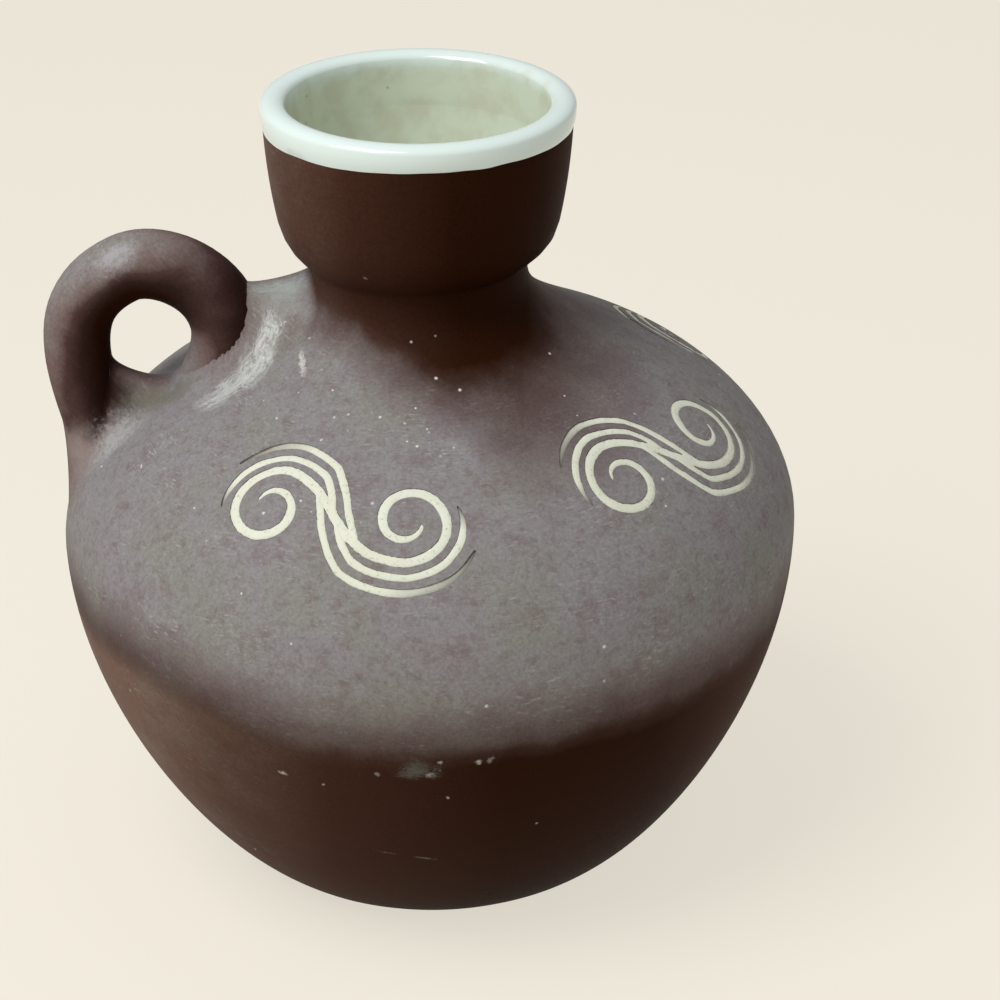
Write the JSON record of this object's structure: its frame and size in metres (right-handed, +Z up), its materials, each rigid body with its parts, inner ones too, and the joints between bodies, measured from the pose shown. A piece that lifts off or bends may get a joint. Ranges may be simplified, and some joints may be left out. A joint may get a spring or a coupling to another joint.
{
  "type": "stoneware jug",
  "caption": "Squat thrown stoneware jug with a cup-shaped mouth, a glazed lip and lining, a finger-ring handle and scrolls inlaid in slip on its shoulder.",
  "frame": {"origin": "On the turning axis, in the plane of the flat base that the jug stands on.", "axes": "+Z up along the turning axis; the ring handle stands at -X; +X is the pouring side, to which the mouth leans a little."},
  "size_m": [0.1409, 0.14, 0.1523],
  "materials": {
    "clay_body": "unglazed red-brown stoneware, burnished to a soft sheen",
    "wiped_slip": "thin matte grey-green slip, wiped",
    "white_glaze": "thick glossy white glaze",
    "liner_glaze": "glossy cream-green glaze with fine dark specks",
    "inlaid_slip": "matte cream slip, hand-inlaid"
  },
  "bodies": {
    "root": {"belly_bowl": "clay_body", "shoulder_dome": "clay_body", "neck_collar": "clay_body", "mouth_cup": "clay_body", "ring_handle": "clay_body", "upper_root_slip": "wiped_slip", "lower_root_slip": "wiped_slip", "rim_glaze": "white_glaze", "liner_glaze": "liner_glaze", "scroll_inlay_front_left": "inlaid_slip", "scroll_inlay_front_right": "inlaid_slip", "scroll_inlay_back_right": "inlaid_slip", "scroll_inlay_back_left": "inlaid_slip"}
  },
  "joints": []
}
